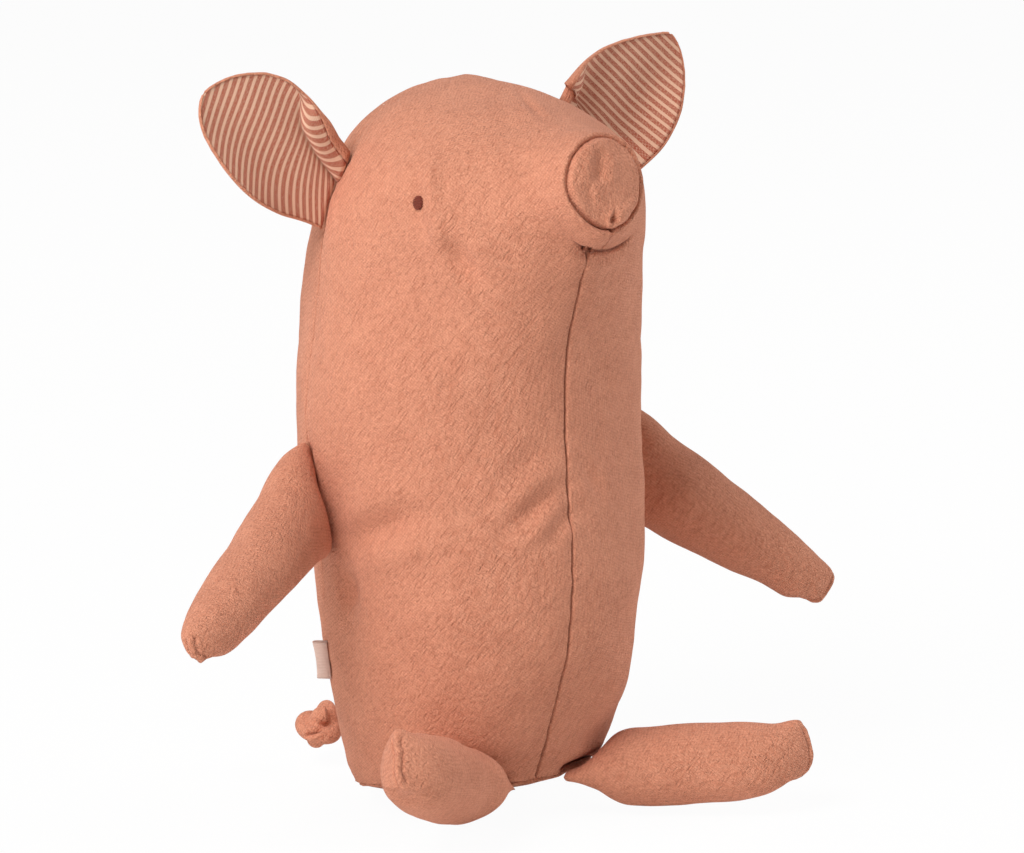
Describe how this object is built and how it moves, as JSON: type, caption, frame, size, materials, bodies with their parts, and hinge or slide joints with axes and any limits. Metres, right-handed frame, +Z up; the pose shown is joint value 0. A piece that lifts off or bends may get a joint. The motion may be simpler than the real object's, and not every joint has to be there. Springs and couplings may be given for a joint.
{
  "type": "plush pig",
  "caption": "Seated stuffed cloth pig with round snout, flapping ears, soft swinging arms and legs, and a knotted tail.",
  "frame": {"origin": "on the surface that the pig sits on, under the middle of its body, at the flat of the base panel", "axes": "+Z up, -Y the way that the pig faces, +X the pig's own left side"},
  "size_m": [0.2709, 0.155, 0.2611],
  "materials": {
    "linen": "slubby plain-woven linen in warm pink, matt",
    "lining": "woven cloth with narrow terracotta and beige stripes, matt",
    "filling": "white polyester fibre filling",
    "thread": "dark brown satin-stitch embroidery thread",
    "ribbon": "pale pink woven ribbon, bare"
  },
  "bodies": {
    "torso": {"body_filling": "filling", "head_filling": "filling", "front_panel": "linen", "back_panel_left": "linen", "back_panel_right": "linen", "base_panel": "linen", "snout_disc": "linen", "eye_left": "thread", "eye_right": "thread"},
    "arm_left": {"arm_left_cover": "linen", "arm_left_filling": "filling"},
    "arm_right": {"arm_right_cover": "linen", "arm_right_filling": "filling"},
    "leg_left": {"leg_left_cover": "linen", "leg_left_filling": "filling"},
    "leg_right": {"leg_right_cover": "linen", "leg_right_filling": "filling"},
    "ear_left": {"ear_left_outer": "linen", "ear_left_lining": "lining"},
    "ear_right": {"ear_right_outer": "linen", "ear_right_lining": "lining"},
    "tail": {"tail": "linen"},
    "side_tab": {"side_tab": "ribbon"}
  },
  "joints": [
    {"name": "arm_left_swing", "type": "hinge", "parent": "torso", "child": "arm_left", "pos_m": [0.05947, 0.005, 0.115], "axis": [0.0511, 0.2542, 0.9658], "range_deg": [-26, 60], "stiffness_Nm_per_rad": 0.02},
    {"name": "arm_right_swing", "type": "hinge", "parent": "torso", "child": "arm_right", "pos_m": [-0.05932, 0.005, 0.111], "axis": [-0.061, 0.254, 0.9653], "range_deg": [-60, 26], "stiffness_Nm_per_rad": 0.02},
    {"name": "leg_left_lift", "type": "hinge", "parent": "torso", "child": "leg_left", "pos_m": [0.02358, -0.0371, 0.01468], "axis": [-0.8871, -0.4615, 0], "range_deg": [-60, 18], "stiffness_Nm_per_rad": 0.06},
    {"name": "leg_right_lift", "type": "hinge", "parent": "torso", "child": "leg_right", "pos_m": [-0.02358, -0.0371, 0.01468], "axis": [-0.8871, 0.4615, 0], "range_deg": [-65, 4], "stiffness_Nm_per_rad": 0.06},
    {"name": "ear_left_flap", "type": "hinge", "parent": "torso", "child": "ear_left", "pos_m": [0.05207, 0.01, 0.213], "axis": [-0.3213, 0, 0.947], "range_deg": [-50, 50], "stiffness_Nm_per_rad": 0.004},
    {"name": "ear_right_flap", "type": "hinge", "parent": "torso", "child": "ear_right", "pos_m": [-0.05205, 0.01, 0.213], "axis": [0.3353, 0, 0.9421], "range_deg": [-50, 50], "stiffness_Nm_per_rad": 0.004},
    {"name": "tail_sway", "type": "hinge", "parent": "torso", "child": "tail", "pos_m": [0, 0.0431, 0.03], "axis": [0, 0, 1], "range_deg": [-45, 45], "stiffness_Nm_per_rad": 0.003},
    {"name": "side_tab_flap", "type": "hinge", "parent": "torso", "child": "side_tab", "pos_m": [-0.05272, 0.01, 0.0535], "axis": [-0.1418, 0, 0.9899], "range_deg": [-45, 60], "stiffness_Nm_per_rad": 0.001}
  ]
}
